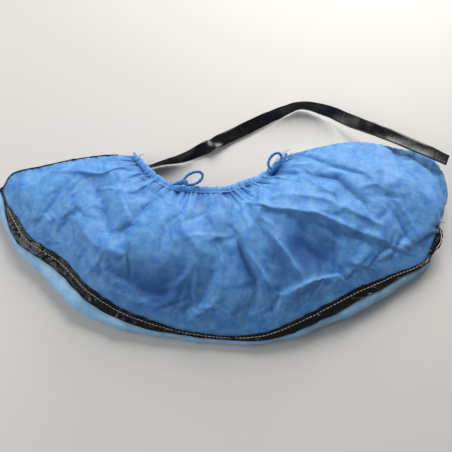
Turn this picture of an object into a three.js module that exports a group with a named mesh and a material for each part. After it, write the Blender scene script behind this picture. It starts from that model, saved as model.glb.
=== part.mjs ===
// Disposable shoe cover of thin blue nonwoven, with a black conductive strip, lying on its side.
// Two side panels meet at a seam under the conductive strip and are gathered into an elastic hem
// round the mouth. X runs from the toe end to the heel end, +Y is the mouth's side, Z is up.
import * as THREE from 'three';

// Driving sizes, in millimetres.
const panelWall = 1.0;
const seamGap = 0.8; // each panel stops this far short of the seam line
const seamSpread = 1.25; // at the end seams the panels lie face to face, each this far off the seam
const hemWidth = 7; // gathered casing, measured along the cloth
const hemThickness = 4.2;
const hemClearance = 1.0;
const stripWidth = 12;
const stripThickness = 0.8;
const stripClearance = 0.8; // between the strip and the panels it is sewn over
const loopCordDiameter = 2.4;

// How finely each piece is divided.
const acrossSteps = 54; // toe to heel
const downSteps = 13; // mouth to sole
const hemSteps = 72;
const hemSides = 8;
const stripSteps = 86;
const tailSteps = 48;
const loopSteps = 24;
const loopSides = 6;

// Shape of the cloth.
const seamRoll = THREE.MathUtils.degToRad(150); // how far the far panel rolls up round its edge
const puffSharpness = 0.8; // under 1 makes the near panel rise steeply from its seams
const gatherCount = 15;
const gatherHeight = 1.3;
const gatherReach = 0.22; // share of the panel that the gathers run into
const endRoll = 0.05; // share of the length taken by the roll at the two end seams
const spreadReach = 0.03; // share of the length over which the end seams' spread dies away
const hemRise = 0.1; // share of the panel over which the far mouth edge lifts off the table
const cornerRoom = 5; // extra clearance from the hem at its two corners, in millimetres
const cornerReach = 0.03; // share of the length over which that clearance dies away
const edgeMargin = 0.0025; // share of the length left free at either end of a panel
const edgeCrowding = 0.09; // how far the divisions crowd towards the hem and the sole
const hemPinch = 0.14; // share of its thickness that the casing loses at every other gather
const soleShare = 0.79; // share of the strip's path at which it turns up the toe's end seam
const turnWidth = 0.012; // share of the path over which it turns
const stripStart = 0.012; // share of the path at the strip's heel end
const stripEnd = 0.955; // share of the path where its free tail takes over

// One row for each section across the cover, from the toe end to the heel end.
// hem: the mouth's edge on the near panel; farHem: its height on the far panel; sole: the seam;
// crown: height of the near panel over the line from hem to sole; swell: far panel past the seam.
const sectionColumns = ['along', 'hemX', 'hemY', 'hemZ', 'farHem', 'soleX', 'soleY', 'soleZ', 'crown', 'swell'];
const sectionRows = [
  [0.0, -81, 83, 15, 8, -202, 48, 12, 0, 4],
  [0.05, -77, 76, 17, 6.5, -192, 25, 13, 9, 9],
  [0.12, -71, 68, 19, 6, -173, -3, 15, 14, 11],
  [0.2, -61, 57, 22, 5.5, -141, -24, 16, 17, 18],
  [0.28, -49, 48, 25, 5, -113, -51, 15.5, 20, 18],
  [0.36, -37, 43, 27, 5, -79, -70, 13, 22, 12],
  [0.44, -23, 41.5, 28, 5, -42, -80.5, 10, 24, 7],
  [0.52, -9, 41, 28, 5, -6, -86, 8, 25, 6],
  [0.6, 5, 41.5, 28, 5, 35, -86, 10, 24, 6.5],
  [0.68, 18, 47, 27, 5, 70, -74, 15, 22, 10],
  [0.77, 33, 54, 24, 5.5, 110, -54, 17, 20, 14],
  [0.86, 45, 63, 21, 6, 148, -36, 15.5, 17, 10],
  [0.94, 53, 73, 18, 7, 180, -19, 13, 12, 4],
  [1.0, 59, 82.5, 16, 9, 192, 10, 12, 0, 3],
];

// The two end seams, from the mouth's corner down to the sole.
const endColumns = ['down', 'x', 'y', 'z'];
const toeEndRows = [
  [0.0, -81, 83, 11.5],
  [0.17, -102, 82.5, 14],
  [0.34, -125, 79.5, 15],
  [0.5, -146, 75.5, 15],
  [0.67, -168, 70, 15],
  [0.84, -193, 64, 13.5],
  [1.0, -202, 48, 12],
];
const heelEndRows = [
  [0.0, 59, 82.5, 12.5],
  [0.17, 93, 90.5, 16],
  [0.33, 128, 95, 17],
  [0.5, 162, 89, 16.5],
  [0.67, 196, 79, 15],
  [0.84, 207, 46, 12.5],
  [1.0, 192, 10, 12],
];

// Main folds of the near panel, as straight creases seen from above. A negative height is a valley.
const foldColumns = ['fromX', 'fromY', 'toX', 'toY', 'halfWidth', 'height'];
const foldRows = [
  [-76, 64, -132, 52, 6, 5], // overlap beside the toe corner of the mouth
  [-80, 55, -126, 44, 5, -4],
  [-114, 44, -97, -3, 9, -4],
  [41, 20, 106, 1, 9, 5], // long fold along the heel half
  [106, 1, 175, -14, 9, 5],
  [49, 51, 124, 18, 9, -4],
  [141, 84, 137, 36, 7, -3],
  [-85, -59, -31, -75, 7, -3],
  [40, -48, 99, -47, 7, 3],
  [66, -10, 95, -55, 8, -4],
];

// The free end of the conductive strip, from the mouth's toe corner to its cut end.
// tilt: angle of the ribbon's width above level, in degrees, 90 when it stands on its edge.
const tailColumns = ['x', 'y', 'z', 'tilt'];
const tailRows = [
  [-82, 90, 10.5, 84],
  [-70, 81.5, 9.5, 86],
  [-49, 81.5, 8.5, 84],
  [-31, 87.5, 7.5, 55],
  [-16, 96, 6, 30],
  [17, 113, 5, 24],
  [52, 130.5, 6, 50],
  [78, 140, 7.5, 82],
  [101, 134, 8, 58],
  [124, 120, 12, 34],
  [146, 106, 19, 24],
  [167, 92, 25, 20],
  [192, 78.5, 26, 18],
  [206, 71.5, 25, 20],
];

// Small elastic loops standing on the mouth's edge: centre, half lengths, and how they are turned.
const loopColumns = ['x', 'y', 'z', 'halfLength', 'halfWidth', 'turn', 'lean'];
const loopRows = {
  hem_loop_toe: [-25.5, 50, 33.5, 9.2, 5.2, 28, 6],
  hem_loop_heel: [48.5, 71, 25.5, 8.6, 5.2, 58, 14],
};

// Blue nonwoven, black ribbon and blue elastic cord.
const nearCloth = new THREE.MeshStandardMaterial({ color: 0x5b98d8, roughness: 0.75, metalness: 0, name: 'near_cloth' });
const farCloth = new THREE.MeshStandardMaterial({ color: 0x6fa6dc, roughness: 0.75, metalness: 0, name: 'far_cloth' });
const hemCloth = new THREE.MeshStandardMaterial({ color: 0x4a86ca, roughness: 0.8, metalness: 0, name: 'hem_cloth' });
const ribbon = new THREE.MeshStandardMaterial({ color: 0x151618, roughness: 0.35, metalness: 0, name: 'ribbon' });
const loopCord = new THREE.MeshStandardMaterial({ color: 0x1763ae, roughness: 0.8, metalness: 0, name: 'loop_cord' });

// A table's row as an object, with its columns' names.
const named = (columns, row) => Object.fromEntries(columns.map((name, i) => [name, row[i]]));

// A smooth curve through a table's rows; the first column is the place along it.
function smoothTable(columns, rows) {
  const places = rows.map((row) => row[0]);
  const curve = new THREE.CubicInterpolant(places, rows.flat(), columns.length);
  return (place) => named(columns, Array.from(curve.evaluate(place)));
}

const sectionAt = smoothTable(sectionColumns, sectionRows);
const toeEndAt = smoothTable(endColumns, toeEndRows);
const heelEndAt = smoothTable(endColumns, heelEndRows);
const vector = (p) => new THREE.Vector3(p.x, p.y, p.z);
const clamp01 = (value) => THREE.MathUtils.clamp(value, 0, 1);

// Height of every main fold at one place.
function foldHeight(x, y) {
  const place = new THREE.Vector3(x, y, 0);
  const nearest = new THREE.Vector3();
  let height = 0;
  for (const row of foldRows) {
    const fold = named(foldColumns, row);
    const line = new THREE.Line3(new THREE.Vector3(fold.fromX, fold.fromY, 0), new THREE.Vector3(fold.toX, fold.toY, 0));
    line.closestPointToPoint(place, true, nearest);
    height += fold.height * Math.exp(-((place.distanceTo(nearest) / fold.halfWidth) ** 2));
  }
  return height;
}

// Surface through the hem, the sole seam and the two end seams, with its hem at either panel.
function seamSurface(across, down, hemHeight) {
  const section = sectionAt(across);
  const hemAt = (s) => new THREE.Vector3(s.hemX, s.hemY, hemHeight(s));
  const soleAt = (s) => new THREE.Vector3(s.soleX, s.soleY, s.soleZ);
  const point = hemAt(section).lerp(soleAt(section), down);
  const ends = [
    [sectionAt(0), toeEndAt(down), (1 - across) ** 3],
    [sectionAt(1), heelEndAt(down), across ** 3],
  ];
  for (const [row, end, weight] of ends) {
    const straight = hemAt(row).lerp(soleAt(row), down);
    point.addScaledVector(vector(end).sub(straight), weight);
  }
  return { point, section };
}

// Half the step between the two panels' outer faces where their end seams lie face to face.
const endSpread = (across) => seamSpread * Math.exp(-Math.min(across, 1 - across) / spreadReach);

// Outer surface of the near panel: puffed up, folded, and rippled where it is gathered.
function nearSurface(across, down) {
  const { point, section } = seamSurface(across, down, (s) => s.hemZ);
  const open = Math.sin(Math.PI * across) ** 0.5 * (1 - down ** 6);
  point.z += section.crown * Math.sin(Math.PI * down) ** puffSharpness;
  point.z += foldHeight(point.x, point.y) * open;
  const ripple = Math.cos(2 * Math.PI * gatherCount * across) * Math.exp(-down / gatherReach);
  point.z += gatherHeight * ripple * open + endSpread(across);
  return point;
}

// How far a rolled edge has risen, from 0 on the table to 1 at the seam.
const rollRise = (share) => (1 - Math.cos(clamp01(share) * seamRoll)) / (1 - Math.cos(seamRoll));

// Outer surface of the far panel: flat on the table, rolling up past its seams.
function farSurface(across, down) {
  const flat = sectionAt(across);
  const reach = Math.hypot(flat.hemX - flat.soleX, flat.hemY - flat.soleY);
  const rollRadius = (2 * Math.max(flat.swell, 1)) / reach;
  const rollStart = 1 - rollRadius * Math.sin(seamRoll);
  const share = (down - rollStart) / (1 - rollStart);
  const { point } = seamSurface(across, down, (s) => s.farHem);
  if (share > 0) {
    const beyond = rollStart + rollRadius * Math.sin(share * seamRoll) - down;
    point.x += (flat.soleX - flat.hemX) * beyond;
    point.y += (flat.soleY - flat.hemY) * beyond;
  }
  const low = [share, 1 - across / endRoll, 1 - (1 - across) / endRoll, 1 - down / hemRise]
    .map((value) => 1 - rollRise(value))
    .reduce((product, value) => product * value, 1);
  point.z = Math.max((point.z - endSpread(across)) * (1 - low), 0);
  return point;
}

// Unit normal of a surface, on the side that turn picks.
function normalAt(surface, across, down, turn) {
  const step = 0.004;
  const clampStep = (value) => THREE.MathUtils.clamp(value, step, 1 - step);
  const [a, d] = [clampStep(across), clampStep(down)];
  const alongAcross = surface(a + step, d).sub(surface(a - step, d));
  const alongDown = surface(a, d + step).sub(surface(a, d - step));
  return alongDown.cross(alongAcross).normalize().multiplyScalar(turn);
}

// A closed body from loops of points: each loop joined to the next, the ends joined or capped.
function loftedSolid(loops, joinEnds) {
  const sides = loops[0].length;
  const positions = loops.flat().flatMap((p) => [p.x, p.y, p.z]);
  const faces = [];
  const quad = (a, b, c, d) => faces.push(a, b, c, a, c, d);
  const last = joinEnds ? loops.length : loops.length - 1;
  for (let k = 0; k < last; k += 1) {
    const here = k * sides;
    const there = ((k + 1) % loops.length) * sides;
    for (let m = 0; m < sides; m += 1) {
      const next = (m + 1) % sides;
      quad(here + m, here + next, there + next, there + m);
    }
  }
  if (!joinEnds) {
    // A flat loop's cap zigzags between its two long sides, so that wide walls close cleanly.
    const end = (loops.length - 1) * sides;
    for (let m = 0; m < sides / 2 - 1; m += 1) {
      const [low, high] = [m, sides - 1 - m];
      quad(low, high, high - 1, low + 1);
      quad(end + low, end + low + 1, end + high - 1, end + high);
    }
  }
  const geometry = new THREE.BufferGeometry();
  geometry.setAttribute('position', new THREE.Float32BufferAttribute(positions, 3));
  geometry.setIndex(faces);
  geometry.computeVertexNormals();
  return geometry;
}

// A thin wall whose outer face is a surface, starting clear of the hem and stopping at the seams.
function panelGeometry(surface, turn) {
  const loops = [];
  for (let i = 0; i <= acrossSteps; i += 1) {
    const across = THREE.MathUtils.lerp(edgeMargin, 1 - edgeMargin, i / acrossSteps);
    const section = sectionAt(across);
    const reach = Math.hypot(section.hemX - section.soleX, section.hemY - section.soleY);
    const room = cornerRoom * Math.exp(-Math.min(across, 1 - across) / cornerReach);
    const start = (hemWidth / 2 + hemClearance + room) / reach;
    const outer = [];
    const inner = [];
    for (let j = 0; j <= downSteps; j += 1) {
      const eased = j / downSteps - edgeCrowding * Math.sin((2 * Math.PI * j) / downSteps);
      const down = THREE.MathUtils.lerp(start, 1 - seamGap / reach, eased);
      const point = surface(across, down);
      const normal = normalAt(surface, across, down, turn);
      outer.push(point);
      inner.push(point.clone().addScaledVector(normal, -panelWall));
    }
    loops.push(turn > 0 ? [...outer, ...inner.reverse()] : [...inner, ...outer.reverse()]);
  }
  return loftedSolid(loops, false);
}

// The mouth's edge as one loop: along the near panel, round a corner, and back along the far one.
function hemLine() {
  const points = [];
  const frames = [];
  const span = hemSteps / 2 - 4;
  const heading = (across) => {
    const a = sectionAt(Math.max(across - 0.01, 0));
    const b = sectionAt(Math.min(across + 0.01, 1));
    return new THREE.Vector3(b.hemX - a.hemX, b.hemY - a.hemY, 0).normalize();
  };
  const add = (across, height, outward) => {
    const section = sectionAt(across);
    const along = heading(across);
    points.push(new THREE.Vector3(section.hemX, section.hemY, height).addScaledVector(along, outward));
    frames.push(new THREE.Vector3(along.y, -along.x, 0));
  };
  for (let i = 0; i <= span; i += 1) add(i / span, sectionAt(i / span).hemZ, 0);
  const corner = (across, outward) => {
    const section = sectionAt(across);
    const middle = (section.hemZ + section.farHem) / 2;
    const radius = (section.hemZ - section.farHem) / 2;
    const angles = [45, 90, 135].map((degrees) => THREE.MathUtils.degToRad(degrees));
    const ordered = outward > 0 ? angles : angles.reverse();
    for (const angle of ordered) {
      add(across, middle + radius * Math.cos(angle), outward * radius * Math.sin(angle));
    }
  };
  corner(1, 1);
  for (let i = span; i >= 0; i -= 1) add(i / span, sectionAt(i / span).farHem, 0);
  corner(0, -1);
  return { points, frames };
}

// Gathered casing: a flattened tube swept round the mouth, pinched at every gather.
function hemGeometry() {
  const { points, frames } = hemLine();
  const count = points.length;
  const loops = points.map((point, k) => {
    const tangent = points[(k + 1) % count].clone().sub(points[(k + count - 1) % count]).normalize();
    const width = frames[k].clone().addScaledVector(tangent, -frames[k].dot(tangent)).normalize();
    const thick = tangent.clone().cross(width).normalize();
    const pinch = 1 - hemPinch * (k % 2);
    return Array.from({ length: hemSides }, (_, m) => {
      const angle = (2 * Math.PI * m) / hemSides;
      return point.clone()
        .addScaledVector(width, (Math.cos(angle) * hemWidth) / 2)
        .addScaledVector(thick, (Math.sin(angle) * hemThickness * pinch) / 2);
    });
  });
  return loftedSolid(loops, true);
}

// Place on the seam from the heel end (0) along the sole, round the toe and up to the mouth (1),
// with the direction that leads into the panels there.
function seamPlace(share) {
  const turn = THREE.MathUtils.smoothstep(share, soleShare - turnWidth, soleShare + turnWidth);
  const inward = new THREE.Vector2(turn, turn - 1).normalize();
  const across = share < soleShare ? 1 - share / soleShare : 0;
  const down = share < soleShare ? 1 : 1 - (share - soleShare) / (1 - soleShare);
  return { across, down, inward };
}

// A point on either panel, a distance in millimetres in from the seam.
function besideSeam(surface, turn, share, distance, lift) {
  const { across, down, inward } = seamPlace(share);
  const lengths = { across: 430, down: 135 };
  let scale = distance;
  let place = null;
  for (let pass = 0; pass < 4; pass += 1) {
    place = {
      across: clamp01(across + (inward.x * scale) / lengths.across),
      down: clamp01(down + (inward.y * scale) / lengths.down),
    };
    const actual = surface(place.across, place.down).distanceTo(surface(across, down));
    scale *= distance / Math.max(actual, 0.2);
  }
  const normal = normalAt(surface, place.across, place.down, turn);
  return surface(place.across, place.down).addScaledVector(normal, lift);
}

// The strip's middle, just outside the seam, halfway between its two halves.
function seamFold(share, lift) {
  const { across, down } = seamPlace(share);
  const seam = nearSurface(across, down).lerp(farSurface(across, down), 0.5);
  const inside = besideSeam(nearSurface, 1, share, 2, 0).lerp(besideSeam(farSurface, -1, share, 2, 0), 0.5);
  const outward = seam.clone().sub(inside).multiplyScalar(0.5)
    .add(normalAt(nearSurface, across, down, 1))
    .add(normalAt(farSurface, across, down, -1));
  return seam.addScaledVector(outward.normalize(), lift);
}

// Half width of the strip on either panel, pinched at the heel end and where it turns at the toe.
function stripReach(share, pinch) {
  const pinchReach = 0.035;
  const near = (place) => Math.exp(-(((share - place) / pinchReach) ** 2));
  return (stripWidth / 2) * (1 - pinch * Math.min(near(0) + near(soleShare), 1));
}

// Conductive strip, bent over the seam like a binding, half on each panel.
function stripGeometry() {
  const loops = [];
  for (let k = 0; k <= stripSteps; k += 1) {
    const share = THREE.MathUtils.lerp(stripStart, stripEnd, k / stripSteps);
    const onNear = stripReach(share, 0.3);
    const onFar = stripReach(share, 0.7);
    const side = (lift) => [
      besideSeam(nearSurface, 1, share, onNear, lift),
      besideSeam(nearSurface, 1, share, onNear * 0.3, lift),
      seamFold(share, lift),
      besideSeam(farSurface, -1, share, onFar * 0.3, lift),
      besideSeam(farSurface, -1, share, onFar, lift),
    ];
    loops.push([...side(stripClearance), ...side(stripClearance + stripThickness).reverse()]);
  }
  return loftedSolid(loops, false);
}

// Free end of the strip: the same ribbon, twisting as it lies beside the mouth and over the heel.
function tailGeometry() {
  const rows = tailRows.map((row) => named(tailColumns, row));
  const route = new THREE.CatmullRomCurve3(rows.map(vector), false, 'centripetal');
  const tilts = new THREE.CatmullRomCurve3(rows.map((row, i) => new THREE.Vector3(i, row.tilt, 0)));
  const loops = [];
  for (let k = 0; k <= tailSteps; k += 1) {
    const share = k / tailSteps;
    const point = route.getPoint(share);
    const tangent = route.getTangent(share);
    const level = new THREE.Vector3(-tangent.y, tangent.x, 0).normalize();
    const tilt = THREE.MathUtils.degToRad(tilts.getPoint(share).y);
    const width = level.clone().applyAxisAngle(tangent, tilt);
    const thick = tangent.clone().cross(width).normalize();
    loops.push([[1, 1], [-1, 1], [-1, -1], [1, -1]].map(([w, t]) => point.clone()
      .addScaledVector(width, (w * stripWidth) / 2)
      .addScaledVector(thick, (t * stripThickness) / 2)));
  }
  return loftedSolid(loops, false);
}

// One closed loop of elastic cord.
function loopGeometry(loop) {
  const place = new THREE.Euler(
    THREE.MathUtils.degToRad(loop.lean), 0, THREE.MathUtils.degToRad(loop.turn), 'ZXY');
  const loops = [];
  for (let k = 0; k < loopSteps; k += 1) {
    const angle = (2 * Math.PI * k) / loopSteps;
    const centre = new THREE.Vector3(Math.cos(angle) * loop.halfLength, Math.sin(angle) * loop.halfWidth, 0);
    const outward = new THREE.Vector3(
      Math.cos(angle) / loop.halfLength, Math.sin(angle) / loop.halfWidth, 0).normalize();
    loops.push(Array.from({ length: loopSides }, (_, m) => {
      const round = (2 * Math.PI * m) / loopSides;
      return centre.clone()
        .addScaledVector(outward, (Math.cos(round) * loopCordDiameter) / 2)
        .add(new THREE.Vector3(0, 0, (Math.sin(round) * loopCordDiameter) / 2))
        .applyEuler(place)
        .add(vector(loop));
    }));
  }
  return loftedSolid(loops, true);
}

// Turns a solid's faces outward where its loops were made the other way round.
function outwardFacing(geometry) {
  const position = geometry.getAttribute('position');
  const index = geometry.getIndex();
  const corner = (n) => new THREE.Vector3().fromBufferAttribute(position, index.getX(n));
  let volume = 0;
  for (let n = 0; n < index.count; n += 3) volume += corner(n).dot(corner(n + 1).cross(corner(n + 2)));
  if (volume < 0) geometry.setIndex(Array.from(index.array).reverse());
  return geometry;
}

function piece(name, geometry, material) {
  const mesh = new THREE.Mesh(outwardFacing(geometry), material);
  mesh.name = name;
  return mesh;
}

const shoeCover = new THREE.Group();
shoeCover.name = 'shoe_cover';
shoeCover.add(piece('near_panel', panelGeometry(nearSurface, 1), nearCloth));
shoeCover.add(piece('far_panel', panelGeometry(farSurface, -1), farCloth));
shoeCover.add(piece('elastic_hem', hemGeometry(), hemCloth));
shoeCover.add(piece('conductive_strip', stripGeometry(), ribbon));
shoeCover.add(piece('conductive_tail', tailGeometry(), ribbon));
for (const [name, row] of Object.entries(loopRows)) {
  shoeCover.add(piece(name, loopGeometry(named(loopColumns, row)), loopCord));
}

export default shoeCover;
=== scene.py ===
import math

import bpy
import numpy as np
from mathutils import Matrix, Vector


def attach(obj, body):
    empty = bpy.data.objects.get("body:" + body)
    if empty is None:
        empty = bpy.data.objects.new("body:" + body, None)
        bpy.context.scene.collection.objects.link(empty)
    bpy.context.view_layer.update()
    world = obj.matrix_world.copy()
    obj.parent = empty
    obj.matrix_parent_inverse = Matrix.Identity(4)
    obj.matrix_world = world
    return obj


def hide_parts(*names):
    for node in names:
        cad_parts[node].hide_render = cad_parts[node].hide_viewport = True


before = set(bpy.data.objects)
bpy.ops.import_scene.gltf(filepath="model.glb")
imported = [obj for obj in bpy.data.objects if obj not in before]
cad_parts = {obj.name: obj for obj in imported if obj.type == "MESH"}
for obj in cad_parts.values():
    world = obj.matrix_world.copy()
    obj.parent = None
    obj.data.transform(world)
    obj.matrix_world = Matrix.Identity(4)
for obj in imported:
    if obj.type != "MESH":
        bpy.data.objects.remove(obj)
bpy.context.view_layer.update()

scene = bpy.context.scene
mm = 0.001  # sizes below are in millimetres unless their notes say otherwise, Blender's in metres

# the camera looks down over the sole
view = {
    "target": (0.0038, 0.013, 0.012),
    "distance": 0.565,
    "elevation": 70.0,  # degrees above level
    "lens": 50.0,
}
elevation = math.radians(view["elevation"])
away = Vector((0, -math.cos(elevation), math.sin(elevation)))
cameraData = bpy.data.cameras.new("camera")
cameraData.lens = view["lens"]
cameraData.sensor_width = 36
cameraData.clip_start = 0.01
camera = bpy.data.objects.new("camera", cameraData)
camera.location = Vector(view["target"]) + away * view["distance"]
camera.rotation_euler = (math.pi / 2 - elevation, 0, 0)
scene.collection.objects.link(camera)
scene.camera = camera
scene.view_settings.view_transform = "Standard"  # plain colours, with no film curve
print("camera placed")


# curves, grids and meshes that several pieces are made with
def smoothRows(rows):
    # smooth curve through a table's rows; the first column is the place along it
    table = np.array(rows, float)
    places = table[:, 0]
    last = len(places) - 1

    def valueAt(place):
        place = np.clip(np.asarray(place, float), places[0], places[-1])
        right = np.clip(np.searchsorted(places, place, side="right"), 1, last)
        left = right - 1
        before = np.where(left > 0, left - 1, right)
        after = np.where(right < last, right + 1, left)
        span = places[right] - places[left]
        half = span / 2
        weightBefore = half / (places[left] - places[before])
        weightAfter = half / (places[after] - places[right])
        p = (place - places[left]) / span
        pp = p * p
        ppp = pp * p
        sBefore = -weightBefore * ppp + 2 * weightBefore * pp - weightBefore * p
        sLeft = (1 + weightBefore) * ppp + (-1.5 - 2 * weightBefore) * pp + (weightBefore - 0.5) * p + 1
        sRight = (-1 - weightAfter) * ppp + (1.5 + weightAfter) * pp + 0.5 * p
        sAfter = weightAfter * ppp - weightAfter * pp
        return (
            sBefore[..., None] * table[before]
            + sLeft[..., None] * table[left]
            + sRight[..., None] * table[right]
            + sAfter[..., None] * table[after]
        )

    return valueAt


def unit(vectors):
    return vectors / np.maximum(np.linalg.norm(vectors, axis=-1, keepdims=True), 1e-9)


def eased(value):
    value = np.clip(value, 0, 1)
    return value * value * (3 - 2 * value)


def wander(place, seed, wavelengths, heights):
    # smooth irregular wave along a line, the same on every run
    random = np.random.default_rng(seed)
    total = np.zeros_like(np.asarray(place, float))
    for wavelength, height in zip(wavelengths, heights):
        for share in (1.0, 0.73, 0.57):  # three waves that don't keep step
            phase = random.uniform(0, 2 * math.pi)
            turns = place / (wavelength * (0.6 + share))
            total = total + height * share * np.sin(2 * math.pi * turns + phase)
    return total


def lengthAlong(points):
    # how far along a path each of its points is
    return np.concatenate([[0], np.cumsum(np.linalg.norm(np.diff(points, axis=0), axis=1))])


def curveThrough(rows, count):
    # a smooth curve through rows of x, y, z and any other values, read at even steps
    rows = np.array(rows, float)
    length = lengthAlong(rows[:, :3])
    wanted = np.linspace(0, length[-1], count)
    return smoothRows(np.column_stack([length, rows]))(wanted)[:, 1:], wanted


def addMesh(name, points, faces, material, uv=None, smooth=True, paintedShade=None):
    mesh = bpy.data.meshes.new(name)
    mesh.from_pydata([tuple(p) for p in np.asarray(points, float) * mm], [], faces)
    mesh.update()
    if uv is not None:
        layer = mesh.uv_layers.new(name="cloth")
        corners = np.empty(len(mesh.loops), dtype=np.int32)
        mesh.loops.foreach_get("vertex_index", corners)
        layer.data.foreach_set("uv", (np.asarray(uv, float) * mm)[corners].ravel())
    # painted shade, stored per point, that darkens the cloth's colour
    if paintedShade is not None:
        shade = mesh.attributes.new("paintedShade", "FLOAT", "POINT")
        shade.data.foreach_set("value", np.asarray(paintedShade, float).ravel())
    mesh.polygons.foreach_set("use_smooth", [smooth] * len(mesh.polygons))
    piece = bpy.data.objects.new(name, mesh)
    piece.data.materials.append(material)
    scene.collection.objects.link(piece)
    return piece


def gridFaces(rows, columns, joinRows=False, joinColumns=False, flip=False):
    faces = []
    for i in range(rows if joinRows else rows - 1):
        for j in range(columns if joinColumns else columns - 1):
            a = i * columns + j
            b = i * columns + (j + 1) % columns
            c = (i + 1) % rows * columns + (j + 1) % columns
            d = (i + 1) % rows * columns + j
            faces.append((a, d, c, b) if flip else (a, b, c, d))
    return faces


def uvGrid(u, v):
    return np.stack(np.meshgrid(u, v, indexing="ij"), axis=-1).reshape(-1, 2)


def gridUv(points):
    # flat place of every point of a grid, by the mean distance between its rows and columns
    across = np.linalg.norm(np.diff(points, axis=0), axis=2).mean(axis=1)
    down = np.linalg.norm(np.diff(points, axis=1), axis=2).mean(axis=0)
    u = np.concatenate([[0], np.cumsum(across)])
    v = np.concatenate([[0], np.cumsum(down)])
    return uvGrid(u, v)


def addGrid(name, grid, material, uv, flip=False, paintedShade=None):
    faces = gridFaces(*grid.shape[:2], flip=flip)
    return addMesh(name, grid.reshape(-1, 3), faces, material, uv, paintedShade=paintedShade)


def addWall(piece, thickness, offset):
    wall = piece.modifiers.new("wall", "SOLIDIFY")
    wall.thickness = thickness * mm
    wall.offset = offset
    wall.use_even_offset = False
    return piece


nearlyUp = (0.02, 0.01, 1.0)  # not quite upright, so an upright path has a side too


def sweepTube(name, path, radii, sides, material, closed=False, squash=1.0, bumps=None):
    path = np.asarray(path, float)
    count = len(path)
    radii = np.broadcast_to(np.asarray(radii, float), (count,))
    tangent = np.roll(path, -1, axis=0) - np.roll(path, 1, axis=0)
    if not closed:
        tangent[0] = path[1] - path[0]
        tangent[-1] = path[-1] - path[-2]
    tangent = unit(tangent)
    side = unit(np.cross(tangent, nearlyUp))
    rise = np.cross(side, tangent)
    angle = np.arange(sides) * 2 * math.pi / sides
    girth = np.ones((count, sides)) if bumps is None else bumps(np.arange(count)[:, None], angle[None, :])
    points = (
        path[:, None, :]
        + side[:, None, :] * (np.cos(angle) * radii[:, None] * girth)[..., None]
        + rise[:, None, :] * (np.sin(angle) * radii[:, None] * girth * squash)[..., None]
    )
    faces = gridFaces(count, sides, joinRows=closed, joinColumns=True, flip=True)
    if not closed:
        faces.append(tuple(range(sides)))
        faces.append(tuple((count - 1) * sides + k for k in reversed(range(sides))))
    uv = uvGrid(lengthAlong(path), angle * radii.mean())
    return addMesh(name, points.reshape(-1, 3), faces, material, uv)


# materials: their colours are sRGB hex values, turned to linear here
mixA, mixB, mixResult = 6, 7, 2  # a mix node's colour sockets share their names with its others


def linearColour(hexText):
    parts = [int(hexText[i:i + 2], 16) / 255 for i in (1, 3, 5)]
    return tuple(c / 12.92 if c <= 0.04045 else ((c + 0.055) / 1.055) ** 2.4 for c in parts) + (1.0,)


def addNode(tree, kind, settings=None, links=None):
    node = tree.nodes.new(kind)
    for name, value in (settings or {}).items():
        if isinstance(name, int) or name in node.inputs:
            node.inputs[name].default_value = value
        else:
            setattr(node, name, value)
    for name, socket in (links or {}).items():
        tree.links.new(socket, node.inputs[name])
    return node


def newMaterial(name):
    material = bpy.data.materials.new(name)
    material.use_nodes = True
    tree = material.node_tree
    tree.nodes.clear()
    return material, tree


def setRamp(ramp, stops):
    elements = ramp.color_ramp.elements
    while len(elements) < len(stops):
        elements.new(0.5)
    for element, (place, colour) in zip(elements, stops):
        element.position = place
        element.color = colour


# Spunbond polypropylene nonwoven: fine fibres laid at random and welded at small dots, so it is
# matt with a faint waxy sheen, lets some light through and shows cloudy patches of more fibre.
clothLook = {
    "thin": "#327dd2",
    "dense": "#7fbdef",
    # painted light: the far panel's colours are a lighter copy of the cloth, standing in for light shining
    # through its single layer
    "paintedLightThin": "#78b4e4",
    "paintedLightDense": "#b4daf4",
    "hemThin": "#3d88d8",
    "hemDense": "#7cbaee",
    "folded": "#144e9c",  # painted shade, mixed in where the paintedShade attribute is high
    "bondPitch": 1.7,  # real dots are about 0.9 mm apart, too fine to show, so drawn coarser
    "cloud": 9.0,  # patches of more fibre
    "fibre": 2.7,  # fibre bundles, as single fibres are too fine to show
    "fibreShare": 0.45,
    "crease": 30.0,
    "translucent": 0.22,
    "oneLayer": 0.1,  # how translucent a single layer is
}


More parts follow.
